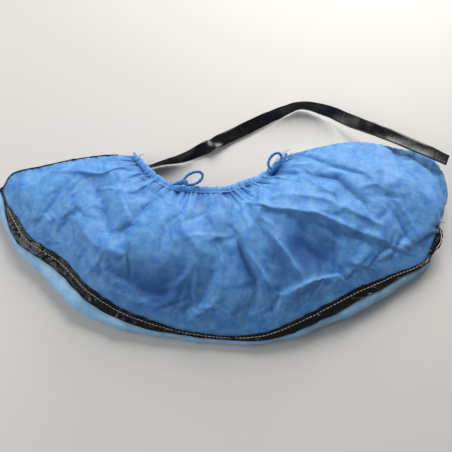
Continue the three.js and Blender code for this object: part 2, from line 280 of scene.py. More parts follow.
def makeCloth(name, thin, dense, translucent):
    material, tree = newMaterial(name)
    place = addNode(tree, "ShaderNodeUVMap", {"uv_map": "cloth"})
    solid = addNode(tree, "ShaderNodeTexCoord")
    cloud = addNode(tree, "ShaderNodeTexNoise", {
        "Scale": 1000 / clothLook["cloud"], "Detail": 5.0, "Roughness": 0.62,
    }, {"Vector": solid.outputs["Object"]})
    fibreMap = addNode(tree, "ShaderNodeMapping", {"Scale": (1.0, 3.2, 1.0)}, {
        "Vector": place.outputs["UV"],
    })
    fibre = addNode(tree, "ShaderNodeTexNoise", {
        "Scale": 1000 / clothLook["fibre"], "Detail": 4.0, "Roughness": 0.75,
    }, {"Vector": fibreMap.outputs["Vector"]})
    mixed = addNode(tree, "ShaderNodeMath", {"operation": "MULTIPLY_ADD", 1: clothLook["fibreShare"]}, {
        0: fibre.outputs["Fac"], 2: cloud.outputs["Fac"],
    })
    ramp = addNode(tree, "ShaderNodeValToRGB", None, {"Fac": mixed.outputs["Value"]})
    setRamp(ramp, [(0.45, linearColour(thin)), (1.0, linearColour(dense))])
    # painted shade: the paintedShade attribute darkens the colour towards a deeper blue in valleys and
    # shaded patches
    paintedShade = addNode(tree, "ShaderNodeAttribute", {"attribute_name": "paintedShade"})
    colour = addNode(tree, "ShaderNodeMix", {"data_type": "RGBA"}, {
        "Factor": paintedShade.outputs["Fac"],
    })
    tree.links.new(ramp.outputs["Color"], colour.inputs[mixA])
    colour.inputs[mixB].default_value = linearColour(clothLook["folded"])
    bondMap = addNode(tree, "ShaderNodeMapping", {
        "Rotation": (0, 0, math.radians(45)), "Scale": (1000 / clothLook["bondPitch"],) * 3,
    }, {"Vector": place.outputs["UV"]})
    bond = addNode(tree, "ShaderNodeTexVoronoi", {
        "voronoi_dimensions": "2D", "Scale": 1.0, "Randomness": 0.12,
    }, {"Vector": bondMap.outputs["Vector"]})
    crease = addNode(tree, "ShaderNodeTexNoise", {
        "noise_type": "RIDGED_MULTIFRACTAL", "Scale": 1000 / clothLook["crease"],
        "Detail": 4.0, "Roughness": 0.5,
    }, {"Vector": solid.outputs["Object"]})
    creaseBump = addNode(tree, "ShaderNodeBump", {"Strength": 0.5, "Distance": 0.0012}, {
        "Height": crease.outputs["Fac"],
    })
    fibreBump = addNode(tree, "ShaderNodeBump", {"Strength": 0.6, "Distance": 0.0003}, {
        "Height": fibre.outputs["Fac"], "Normal": creaseBump.outputs["Normal"],
    })
    bondBump = addNode(tree, "ShaderNodeBump", {"Strength": 0.65, "Distance": 0.0004}, {
        "Height": bond.outputs["Distance"], "Normal": fibreBump.outputs["Normal"],
    })
    roughness = addNode(tree, "ShaderNodeMapRange", {"To Min": 0.42, "To Max": 0.62}, {
        "Value": cloud.outputs["Fac"],
    })
    body = addNode(tree, "ShaderNodeBsdfPrincipled", {
        "IOR": 1.49, "Specular IOR Level": 0.42, "Sheen Weight": 0.15, "Sheen Roughness": 0.4,
    }, {
        "Base Color": colour.outputs[mixResult], "Roughness": roughness.outputs["Result"],
        "Normal": bondBump.outputs["Normal"],
    })
    through = addNode(tree, "ShaderNodeBsdfTranslucent", None, {
        "Color": colour.outputs[mixResult], "Normal": bondBump.outputs["Normal"],
    })
    mix = addNode(tree, "ShaderNodeMixShader", {"Fac": translucent}, {
        1: body.outputs["BSDF"], 2: through.outputs["BSDF"],
    })
    addNode(tree, "ShaderNodeOutputMaterial", None, {"Surface": mix.outputs["Shader"]})
    return material


nonwoven = makeCloth(
    "spunbond polypropylene nonwoven", clothLook["thin"], clothLook["dense"], clothLook["translucent"])
# painted light: a lighter copy of the nonwoven for the far panel, standing in for light shining through it
paintedLightCloth = makeCloth(
    "spunbond polypropylene nonwoven in one layer",
    clothLook["paintedLightThin"], clothLook["paintedLightDense"], clothLook["oneLayer"])
casingCloth = makeCloth(
    "gathered polypropylene nonwoven",
    clothLook["hemThin"], clothLook["hemDense"], clothLook["translucent"])

# Carbon-loaded polyethylene ribbon: black plastic film on a woven tape, so it is satin rather
# than matt, and every small crumple across it catches the light as a grey glint.
ribbonLook = {
    "black": "#060708",
    "worn": "#141517",
    "thread": 0.8,
    "wear": 5.263,
    "crinkle": (2.381, 11.11),  # along the ribbon and across it
    "roughness": 0.22,
}


def makeRibbon():
    material, tree = newMaterial("carbon loaded polyethylene ribbon")
    place = addNode(tree, "ShaderNodeUVMap", {"uv_map": "cloth"})
    solid = addNode(tree, "ShaderNodeTexCoord")
    wear = addNode(tree, "ShaderNodeTexNoise", {
        "Scale": 1000 / ribbonLook["wear"], "Detail": 6.0, "Roughness": 0.65,
    }, {"Vector": solid.outputs["Object"]})
    ramp = addNode(tree, "ShaderNodeValToRGB", None, {"Fac": wear.outputs["Fac"]})
    setRamp(ramp, [(0.4, linearColour(ribbonLook["black"])), (0.72, linearColour(ribbonLook["worn"]))])
    crinkleLong, crinkleWide = ribbonLook["crinkle"]
    crinkleMap = addNode(tree, "ShaderNodeMapping", {
        "Scale": (1000 / crinkleLong, 1000 / crinkleWide, 1.0),
    }, {"Vector": place.outputs["UV"]})
    crinkle = addNode(tree, "ShaderNodeTexNoise", {"Scale": 1.0, "Detail": 3.0, "Roughness": 0.55}, {
        "Vector": crinkleMap.outputs["Vector"],
    })
    weaveMap = addNode(tree, "ShaderNodeMapping", {"Scale": (1000 / ribbonLook["thread"],) * 3}, {
        "Vector": place.outputs["UV"],
    })
    weave = addNode(tree, "ShaderNodeTexChecker", {"Scale": 1.0}, {"Vector": weaveMap.outputs["Vector"]})
    crinkleBump = addNode(tree, "ShaderNodeBump", {"Strength": 0.4, "Distance": 0.0005}, {
        "Height": crinkle.outputs["Fac"],
    })
    weaveBump = addNode(tree, "ShaderNodeBump", {"Strength": 0.12, "Distance": 0.00012}, {
        "Height": weave.outputs["Fac"], "Normal": crinkleBump.outputs["Normal"],
    })
    roughness = addNode(tree, "ShaderNodeMapRange", {
        "To Min": ribbonLook["roughness"] - 0.06, "To Max": ribbonLook["roughness"] + 0.14,
    }, {"Value": wear.outputs["Fac"]})
    body = addNode(tree, "ShaderNodeBsdfPrincipled", {"IOR": 1.51, "Specular IOR Level": 0.38}, {
        "Base Color": ramp.outputs["Color"], "Roughness": roughness.outputs["Result"],
        "Normal": weaveBump.outputs["Normal"],
    })
    addNode(tree, "ShaderNodeOutputMaterial", None, {"Surface": body.outputs["BSDF"]})
    return material


ribbon = makeRibbon()


# Plain matt yarns and cords, mottled in patches about three fibre bundles wide. The width of a
# bundle is given in millimetres.
def makeYarn(name, darkColourAndPaintedShade, light, fibre, roughness, sheen):
    material, tree = newMaterial(name)
    solid = addNode(tree, "ShaderNodeTexCoord")
    fuzz = addNode(tree, "ShaderNodeTexNoise", {
        "Scale": 1000 / fibre / 3, "Detail": 5.0, "Roughness": 0.7,
    }, {"Vector": solid.outputs["Object"]})
    ramp = addNode(tree, "ShaderNodeValToRGB", None, {"Fac": fuzz.outputs["Fac"]})
    setRamp(ramp, [(0.35, linearColour(darkColourAndPaintedShade)), (0.68, linearColour(light))])
    bump = addNode(tree, "ShaderNodeBump", {"Strength": 0.6, "Distance": fibre * 0.4 * mm}, {
        "Height": fuzz.outputs["Fac"],
    })
    body = addNode(tree, "ShaderNodeBsdfPrincipled", {
        "IOR": 1.5, "Roughness": roughness, "Sheen Weight": sheen, "Sheen Roughness": 0.5,
    }, {"Base Color": ramp.outputs["Color"], "Normal": bump.outputs["Normal"]})
    addNode(tree, "ShaderNodeOutputMaterial", None, {"Surface": body.outputs["BSDF"]})
    return material


# Spun polyester sewing thread: two plies, matt, unbleached tan.
sewingThread = makeYarn("spun polyester sewing thread", "#d6ccb4", "#f7f1e2", 0.4, 0.75, 0.2)
# Dark end of the same kind of thread, as left at a trimmed seam.
darkThread = makeYarn("dark polyester thread", "#20262e", "#59636d", 0.4, 0.7, 0.2)
# Rubber core wound with textured nylon: fuzzy, saturated blue, dark between the turns.
elasticYarn = makeYarn("nylon covered elastic cord", "#075092", "#1280cc", 0.6, 0.8, 0.2)

# the cloth's shape: the same sections, end seams and rolled edge as the solids
cover = {
    "hemWidth": 7.0,
    "hemThickness": 2.5,
    "seamSpread": 0.9,
    "seamRoll": math.radians(150),
    "puffSharpness": 0.8,
    "endRoll": 0.05,
    "spreadReach": 0.03,
    "hemRise": 0.1,
    "soleShare": 0.79,
    "turnWidth": 0.012,
    "length": 480,  # from toe to heel, which the waves along the cloth are measured by
    "seamLength": 545,  # heel, sole and toe to the mouth's corner
    "soleLength": 430,
    "endLength": 135,
    "seamGap": 0.3,  # how far both panels stop short of the seam
    "tuck": 2.6,  # how far both panels run in under the hem
    "edgePlaces": (0.0015, 0.9985),
}
# columns: along, hemX, hemY, hemZ, farHem, soleX, soleY, soleZ, crown, swell
sectionAt = smoothRows([
    (0.0, -81, 83, 15, 8, -202, 48, 12, 0, 4),
    (0.05, -77, 76, 17, 6.5, -192, 25, 13, 9, 9),
    (0.12, -71, 68, 19, 6, -173, -3, 15, 14, 11),
    (0.2, -61, 57, 22, 5.5, -141, -24, 16, 17, 18),
    (0.28, -49, 48, 25, 5, -113, -51, 15.5, 20, 18),
    (0.36, -37, 43, 27, 5, -79, -70, 13, 22, 12),
    (0.44, -23, 41.5, 28, 5, -42, -80.5, 10, 24, 7),
    (0.52, -9, 41, 28, 5, -6, -86, 8, 25, 6),
    (0.6, 5, 41.5, 28, 5, 35, -86, 10, 24, 6.5),
    (0.68, 18, 47, 27, 5, 70, -74, 15, 22, 10),
    (0.77, 33, 54, 24, 5.5, 110, -54, 17, 20, 14),
    (0.86, 45, 63, 21, 6, 148, -36, 15.5, 17, 10),
    (0.94, 53, 73, 18, 7, 180, -19, 13, 12, 4),
    (1.0, 59, 82.5, 16, 9, 192, 10, 12, 0, 3),
])
# columns: down, x, y, z
toeEndAt = smoothRows([
    (0.0, -81, 83, 11.5), (0.17, -102, 82.5, 14), (0.34, -125, 79.5, 15), (0.5, -146, 75.5, 15),
    (0.67, -168, 70, 15), (0.84, -193, 64, 13.5), (1.0, -202, 48, 12),
])
heelEndAt = smoothRows([
    (0.0, 59, 82.5, 12.5), (0.17, 93, 90.5, 16), (0.33, 128, 95, 17), (0.5, 162, 89, 16.5),
    (0.67, 196, 79, 15), (0.84, 207, 46, 12.5), (1.0, 192, 10, 12),
])

# Main folds of the near panel: points along the crease (x, y), how far it spreads to the left and
# to the right of that direction, and its height, negative for a valley.
foldRows = [
    ([(-162, 61), (-134, 56), (-106, 54), (-97, 60), (-78, 66)], 8, 1.3, 4.4),
    ([(-149, 46), (-137, 50), (-132, 46), (-138, 34), (-146, 23)], 3, 2, 1.7),
    ([(-117, 50), (-101, 16), (-95, -4)], 8, 6, -4.4),
    ([(-93, 53), (-83, 23), (-77, -3)], 6, 9, 2.8),
    ([(-166, 9), (-156, 35), (-144, 43)], 3, 6, 2.4),
    ([(-181, 22), (-164, 1), (-141, -10)], 5, 3, 1.9),
    ([(-86, 31), (-63, 38)], 2.5, 3, -2.2),
    ([(-54, 33), (-76, 6), (-95, -17)], 5, 4, -2.2),
    ([(-132, 17), (-107, -13), (-70, -28)], 7, 4, 2.8),
    ([(-100, -27), (-69, -47), (-38, -58)], 7, 6, -3.8),
    ([(-107, -43), (-78, -57), (-45, -67)], 5, 4, 2.4),
    ([(-39, 23), (-30, -8), (-14, -29)], 6, 5, 2.8),
    ([(-23, 33), (-8, -4), (5, -34)], 6, 6, -2.8),
    ([(11, -11), (28, -42), (30, -60)], 2.2, 5, -5.4),
    ([(17, -16), (36, -45), (39, -56)], 2.5, 4, 3.4),
    ([(-72, -60), (-32, -82)], 3, 4, 2.2),
    ([(-34, -77), (-6, -63), (24, -81)], 4, 3, 2.4),
    ([(-21, -64), (16, -72)], 4, 3, 2.0),
    ([(-6, -37), (4, -58), (14, -75)], 5, 4, 2.0),
    ([(40, 16), (81, 10), (104, 0), (135, -8), (175, -18)], 7, 1.3, 5.2),
    ([(47, 30), (87, 25), (112, 14), (148, 1)], 4, 4, 2.2),
    ([(50, 51), (73, 53), (101, 46), (122, 23)], 3, 4, -4.4),
    ([(70, 82), (97, 63), (120, 52)], 2.5, 3.5, -3.0),
    ([(123, 92), (124, 75)], 2, 3, -2.2),
    ([(136, 81), (145, 60), (138, 39)], 3, 4, -3.6),
    ([(146, 23), (161, -3), (172, -14)], 2.2, 3, -3.2),
    ([(153, 27), (168, 3), (180, -8)], 2.2, 3, 2.8),
    ([(161, 73), (170, 45), (185, 28)], 4, 5, 2.2),
    ([(56, -7), (77, -21), (97, -30)], 9, 9, -4.2),
    ([(96, -13), (95, -34)], 2, 3, -2.6),
    ([(47, -13), (68, -43)], 3, 3, 3.0),
    ([(41, -7), (56, -29), (69, -47)], 2, 2, 2.0),
    ([(47, -71), (51, -56), (67, -47), (76, -43), (99, -38), (111, -47)], 1.6, 8, 4.0),
    ([(106, -26), (129, -30), (153, -31)], 5, 4, 2.6),
    ([(66, -63), (89, -54), (115, -48)], 5, 5, -2.4),
    ([(35, 38), (31, 10), (24, -11)], 4, 3, 2.2),
    ([(9, 32), (5, 1), (0, -19)], 4, 4, -2.2),
    ([(59, 65), (84, 37), (108, 24)], 4, 5, 2.4),
    ([(-72, 68), (-94, 75), (-121, 76)], 3, 4, -2.2),
]

creaseLook = {
    "seed": 11,
    "count": 210,
    "xRange": (-195, 200),
    "yRange": (-82, 92),
    "mouth": (-5, 75),  # most creases run outwards from here, as pulled by the elastic
    "stray": 0.75,
    "bend": 0.16,
    "length": (8, 34),
    "width": (1.3, 3.6),
    "height": (0.45, 1.6),
    "margin": 14,  # past this distance a crease has faded out
}
gatherLook = {
    "seed": 5,
    "count": 52,
    "width": 0.0075,  # share of the mouth's length
    "depth": 2.7,
    "reach": (7, 26),  # how far in from the hem a pleat runs
}


def creaseProfile(side, left, right):
    # a tip, rounded by a share of its spread, with two flanks that fade at their own rates
    spread = np.where(side > 0, left, right)
    soft = 0.35 * spread
    return np.exp(-(np.sqrt(side * side + soft * soft) - soft) / spread)


def foldHeight(x, y, points, left, right, height):
    best = np.full(x.shape, 1e9)
    side = np.zeros(x.shape)
    along = np.zeros(x.shape)
    lengths = [math.dist(a, b) for a, b in zip(points, points[1:])]
    total = sum(lengths)
    done = 0.0
    for (ax, ay), (bx, by), length in zip(points, points[1:], lengths):
        ux, uy = (bx - ax) / length, (by - ay) / length
        t = np.clip((x - ax) * ux + (y - ay) * uy, 0, length)
        dx, dy = x - ax - ux * t, y - ay - uy * t
        distance = np.hypot(dx, dy)
        turn = ux * dy - uy * dx
        closer = distance < best
        best = np.where(closer, distance, best)
        side = np.where(closer, np.where(turn >= 0, distance, -distance), side)
        along = np.where(closer, (done + t) / total, along)
        done += length
    endShare, endLength = 0.25, 0.3  # a fold is lower towards its ends
    fade = endShare + (1 - endShare) * eased(along / endLength) * eased((1 - along) / endLength)
    return height * fade * creaseProfile(side, left, right)


def smallCreases(x, y):
    random = np.random.default_rng(creaseLook["seed"])
    mouthX, mouthY = creaseLook["mouth"]
    total = np.zeros(x.shape)
    for _ in range(creaseLook["count"]):
        cx, cy = random.uniform(*creaseLook["xRange"]), random.uniform(*creaseLook["yRange"])
        outward = math.atan2(cy - mouthY, cx - mouthX) + random.normal(0, creaseLook["stray"])
        half = random.uniform(*creaseLook["length"]) / 2
        bend = random.normal(0, creaseLook["bend"]) * half
        ux, uy = math.cos(outward), math.sin(outward)
        points = [
            (cx - ux * half, cy - uy * half),
            (cx - uy * bend, cy + ux * bend),
            (cx + ux * half, cy + uy * half),
        ]
        left, right = random.uniform(*creaseLook["width"]), random.uniform(*creaseLook["width"])
        height = random.uniform(*creaseLook["height"]) * random.choice((-1, 1))
        room = half + creaseLook["margin"]
        near = (np.abs(x - cx) < room) & (np.abs(y - cy) < room)
        if near.any():
            total[near] += foldHeight(x[near], y[near], points, left, right, height)
    return total


def gatherPleats(across, down, reach):
    # valleys that start at the hem's weld and run out into the cloth, uneven in place and length
    random = np.random.default_rng(gatherLook["seed"])
    total = np.zeros(np.broadcast(across, down).shape)
    count = gatherLook["count"]
    for k in range(count):
        place = (k + 0.5 + random.uniform(-0.32, 0.32)) / count
        drift = random.normal(0, 0.02)
        width = gatherLook["width"] * random.uniform(0.75, 1.5)
        length = random.uniform(*gatherLook["reach"])
        depth = gatherLook["depth"] * random.uniform(0.55, 1.25)
        distance = down * reach
        offset = (across - place - drift * down) / width
        start = 0.12 + 0.88 * eased((distance + 0.5) / 2.0)
        total -= depth * start * np.exp(-offset * offset) * np.exp(-((distance / length) ** 2))
    return total


def seamSurface(across, down, hemColumn):
    section = sectionAt(across)
    hem = section[..., [1, 2, hemColumn]]
    sole = section[..., 5:8]
    point = hem + (sole - hem) * down[..., None]
    for place, endAt, weight in ((0.0, toeEndAt, (1 - across) ** 3), (1.0, heelEndAt, across ** 3)):
        row = sectionAt(np.array(place))
        hemEnd, soleEnd = row[[1, 2, hemColumn]], row[5:8]
        straight = hemEnd + (soleEnd - hemEnd) * down[..., None]
        point = point + (endAt(down)[..., 1:4] - straight) * weight[..., None]
    return point, section


def endSpread(across):
    return cover["seamSpread"] * np.exp(-np.minimum(across, 1 - across) / cover["spreadReach"])


def nearSurface(across, down):
    across, down = np.broadcast_arrays(np.asarray(across, float), np.asarray(down, float))
    point, section = seamSurface(across, down, 3)
    point[..., 2] += section[..., 8] * np.sin(math.pi * np.clip(down, 0, 1)) ** cover["puffSharpness"]
    point[..., 2] += endSpread(across)
    # the seam itself is a little wavy
    wave = wander(across * cover["length"], 3, (46, 19), (0.5, 0.22)) * eased((down - 0.8) / 0.15)
    point[..., 2] += wave * np.sin(math.pi * across) ** 0.5
    return point


def rollRise(share):
    return (1 - np.cos(np.clip(share, 0, 1) * cover["seamRoll"])) / (1 - math.cos(cover["seamRoll"]))


def farSurface(across, down):
    across, down = np.broadcast_arrays(np.asarray(across, float), np.asarray(down, float))
    flat = sectionAt(across)
    reach = np.hypot(flat[..., 1] - flat[..., 5], flat[..., 2] - flat[..., 6])
    rollRadius = 2 * np.maximum(flat[..., 9], 1) / reach
    rollStart = 1 - rollRadius * math.sin(cover["seamRoll"])
    share = (down - rollStart) / (1 - rollStart)
    point, _ = seamSurface(across, down, 4)
    beyond = np.where(share > 0, rollStart + rollRadius * np.sin(share * cover["seamRoll"]) - down, 0)
    point[..., 0] += (flat[..., 5] - flat[..., 1]) * beyond
    point[..., 1] += (flat[..., 6] - flat[..., 2]) * beyond
    low = np.ones(across.shape)
    atEnds = (1 - across / cover["endRoll"], 1 - (1 - across) / cover["endRoll"])
    for value in (share, *atEnds, 1 - down / cover["hemRise"]):
        low = low * (1 - rollRise(value))
    point[..., 2] = np.maximum((point[..., 2] - endSpread(across)) * (1 - low), 0)
    return point


def normalAt(surface, across, down, turn):
    step = 0.004
    a = np.clip(across, step, 1 - step)
    d = np.clip(down, step, 1 - step)
    alongAcross = surface(a + step, d) - surface(a - step, d)
    alongDown = surface(a, d + step) - surface(a, d - step)
    return unit(np.cross(alongDown, alongAcross)) * turn


def mouthToSole(across):
    section = sectionAt(across)
    return np.hypot(section[..., 1] - section[..., 5], section[..., 2] - section[..., 6])


# cloth that is too large for its pinned edges buckles into natural creases
simulation = {
    "scale": 10.0,  # the solver is steadier on a bigger copy
    "frames": 22,
    "growth": 0.055,  # the cloth is this much larger than its seams leave room for
    "cap": 4.5,  # no point moves further than this
    "cloth": {
        "quality": 4,
        "mass": 0.15,
        "tension_stiffness": 12,
        "compression_stiffness": 12,
        "shear_stiffness": 6,
        "bending_stiffness": 0.35,
        "tension_damping": 8,
        "compression_damping": 8,
        "shear_damping": 8,
        "bending_damping": 0.5,
        "air_damping": 3,
    },
}


def crumple(name, grid, pinned):
    rows, columns = grid.shape[:2]
    flat = grid.reshape(-1, 3)
    mesh = bpy.data.meshes.new(name)
    mesh.from_pydata([tuple(p) for p in flat * mm * simulation["scale"]], [], gridFaces(rows, columns))
    trial = bpy.data.objects.new(name, mesh)
    scene.collection.objects.link(trial)
    group = trial.vertex_groups.new(name="pin")
    steps = np.round(pinned, 1)
    for weight in np.unique(steps):
        if weight > 0:
            members = np.flatnonzero(steps.ravel() == weight)
            group.add([int(n) for n in members], float(weight), "REPLACE")
    modifier = trial.modifiers.new("cloth", "CLOTH")
    cloth = modifier.settings
    for setting, value in simulation["cloth"].items():
        setattr(cloth, setting, value)
    cloth.shrink_min = -simulation["growth"]
    cloth.vertex_group_mass = "pin"
    cloth.effector_weights.gravity = 0
    modifier.collision_settings.use_collision = False
    modifier.collision_settings.use_self_collision = False
    modifier.point_cache.frame_start = 1
    modifier.point_cache.frame_end = simulation["frames"] + 1
    for step in range(1, simulation["frames"] + 1):
        scene.frame_set(step)
    solved = trial.evaluated_get(bpy.context.evaluated_depsgraph_get()).to_mesh()
    moved = np.empty(len(flat) * 3)
    solved.vertices.foreach_get("co", moved)
    moved = moved.reshape(-1, 3) / (mm * simulation["scale"])
    bpy.data.objects.remove(trial)
    bpy.data.meshes.remove(mesh)
    scene.frame_set(1)
    shift = moved - flat
    size = np.linalg.norm(shift, axis=1, keepdims=True)
    cap = simulation["cap"]
    shift *= np.tanh(size / cap) * cap / np.maximum(size, 1e-6)
    print(name, "moved by up to", round(float(size.max()), 2), "mm, mean", round(float(size.mean()), 2))
    return (flat + shift).reshape(rows, columns, 3)


# near panel: the upper side, puffed and creased
nearPanel = {
    "acrossSteps": 320,
    "downSteps": 104,
    "wall": 0.35,
    "crowding": 0.07,  # how much closer the rows are near the seam and the hem
    "foldScale": 1.25,
    "creaseScale": 1.1,
    "lowest": 4,  # the panel stays over the far one
    # patches of painted shade, where the cloth's colour is darkened: x, y, half length, half width
    "shadePatches": [(62, -22, 34, 20), (-50, -50, 42, 22)],
    "shadePatchStrength": 0.7,
    "pleatShade": 3.4,  # a pleat or a fold this deep gets the full painted shade
    "foldShade": 9,
    "shadeStart": 0.1,
    "shadeLimit": 0.8,
    # how firmly each edge is held, where 1 is fixed, and the distance over which 1 of it fades
    "seamPin": (1.95, 8),
    "hemPin": (1.4, 3),
    "endPin": (1.2, 0.005),  # its distance is a share of the length
}


def panelPlaces(look, rowPlaces):
    # across, down and the distance from mouth to sole, for every point of a panel's grid
    across = np.linspace(*cover["edgePlaces"], look["acrossSteps"] + 1)
    reach = mouthToSole(across)
    start = (cover["hemWidth"] / 2 - cover["tuck"]) / reach
    down = start[:, None] + (1 - cover["seamGap"] / reach - start)[:, None] * rowPlaces[None, :]
    return np.broadcast_to(across[:, None], down.shape), down, start, reach


def nearPins(across, down, start, reach):
    # held at the seam, at the hem and at both ends, and free between them
    pinned = np.zeros(down.shape)
    for name, distance in (
        ("seamPin", (1 - down) * reach[:, None]),
        ("hemPin", (down - start[:, None]) * reach[:, None]),
        ("endPin", np.minimum(across, 1 - across)),
    ):
        firmness, fade = nearPanel[name]
        pinned = np.maximum(pinned, np.clip(firmness - distance / fade, 0, 1))
    return pinned


def nearShade(x, y, pleats, folds):
    # painted shade: the colour is darkened in valleys and in the listed patches
    shadePatches = 0
    for middleX, middleY, halfX, halfY in nearPanel["shadePatches"]:
        shadePatches = shadePatches + np.exp(-((x - middleX) / halfX) ** 2 - ((y - middleY) / halfY) ** 2)
    valleys = -pleats / nearPanel["pleatShade"] - folds / nearPanel["foldShade"]
    shade = valleys + nearPanel["shadePatchStrength"] * shadePatches - nearPanel["shadeStart"]
    return np.clip(shade, 0, nearPanel["shadeLimit"])


def buildNearPanel():
    share = np.linspace(0, 1, nearPanel["downSteps"] + 1)
    share = share - nearPanel["crowding"] * np.sin(2 * math.pi * share)
    across, down, start, reach = panelPlaces(nearPanel, share)
    grid = nearSurface(across, down)
    # folds flatten towards the ends and the seam
    room = np.sin(math.pi * across) ** 0.5 * (1 - down ** 8)
    x, y = grid[..., 0].copy(), grid[..., 1].copy()
    folds = np.zeros(x.shape)
    for row in foldRows:
        folds += foldHeight(x, y, *row)
    creases = smallCreases(x, y)
    pleats = gatherPleats(across, down - (cover["hemWidth"] / 2 / reach)[:, None], reach[:, None])
    raised = (folds * nearPanel["foldScale"] + creases * nearPanel["creaseScale"]) * room
    grid[..., 2] += raised + pleats * np.sin(math.pi * across) ** 0.3
    grid[..., 2] = np.maximum(grid[..., 2], nearPanel["lowest"])
    # painted shade for the cloth's colour
    paintedShade = nearShade(x, y, pleats, folds * room)
    grid = crumple("near panel cloth", grid, nearPins(across, down, start, reach))
    return addGrid("nearPanel", grid, nonwoven, gridUv(grid), paintedShade=paintedShade)


nearPiece = buildNearPanel()
print("near panel made")

# far panel: the lower side, flat on the table and rolled up to the seam
farPanel = {
    "acrossSteps": 260,
    "downSteps": 70,
    "wall": 0.35,
    "crowding": 0.12,  # how much closer the rows are near the seam
    "lowest": 0.05,  # clear of the table
}


def buildFarPanel():
    share = np.linspace(0, 1, farPanel["downSteps"] + 1)
    share = share + farPanel["crowding"] * share * (1 - share) * 2
    across, down, _, _ = panelPlaces(farPanel, share)
    grid = farSurface(across, down)
    normal = normalAt(farSurface, across, down, -1)
    # only the roll is dented, because the rest lies flat
    rolled = eased((down - 0.72) / 0.12) * eased((1 - down) / 0.03) * np.sin(math.pi * across) ** 0.5
    along = across * cover["length"]
    dent = wander(along, 21, (31, 13), (0.5, 0.24)) + wander(along + down * 260, 22, (24,), (0.35,))
    grid = grid + normal * (dent * rolled)[..., None]
    grid[..., 2] = np.maximum(grid[..., 2], farPanel["lowest"])
    return addGrid("farPanel", grid, paintedLightCloth, gridUv(grid), flip=True)


farPiece = buildFarPanel()
print("far panel made")

# hem: a flat casing gathered by the elastic inside it
hemLook = {
    "spans": 60,
    "steps": 640,
    "sides": 22,
    "pleat": 0.275,  # share of the cloth's pleats that shows in the band
    "edge": 0.25,  # share of the pleating that is left at the band's outer edge
    "pleatsRead": 6.0,  # how far in from the weld the pleats are read, out of pleatsReach
    "pleatsReach": 100.0,
    "scallop": 0.3,
    "taper": 0.75,  # how much thinner the band is at its two corners
    "taperReach": 0.03,
    "shadeDepth": 2.6,
    "girthRadius": 2.6,  # of the band if it were round, for its cloth pattern
    "cornerTurns": (30, 60, 90, 120, 150),
}


def hemLine():
    spans = hemLook["spans"]
    points, inward, places = [], [], []

    def add(across, height, outward):
        section = sectionAt(np.array(across))
        before = sectionAt(np.array(max(across - 0.01, 0)))
        after = sectionAt(np.array(min(across + 0.01, 1)))
        along = unit(np.array([after[1] - before[1], after[2] - before[2], 0]))
        points.append(np.array([section[1], section[2], height]) + along * outward)
        inward.append((along[1], -along[0], 0))
        places.append(across)

    def corner(across, outward):
        section = sectionAt(np.array(across))
        middle, radius = (section[3] + section[4]) / 2, (section[3] - section[4]) / 2
        angles = [math.radians(degrees) for degrees in hemLook["cornerTurns"]]
        for angle in angles if outward > 0 else reversed(angles):
            add(across, middle + radius * math.cos(angle), outward * radius * math.sin(angle))

    # along the near side, round one corner, back along the far side and round the other
    for i in range(spans + 1):
        add(i / spans, sectionAt(np.array(i / spans))[3], 0)
    corner(1.0, 1)
    for i in range(spans, -1, -1):
        add(i / spans, sectionAt(np.array(i / spans))[4], 0)
    corner(0.0, -1)
    return np.array(points), np.array(inward, float), np.array(places)


def resampled(values, places, wanted):
    # linear reading of a closed list of rows at wanted places
    closed = np.concatenate([values, values[:1]])
    if closed.ndim == 1:
        return np.interp(wanted, places, closed)
    return np.stack([np.interp(wanted, places, closed[:, k]) for k in range(closed.shape[1])], axis=1)


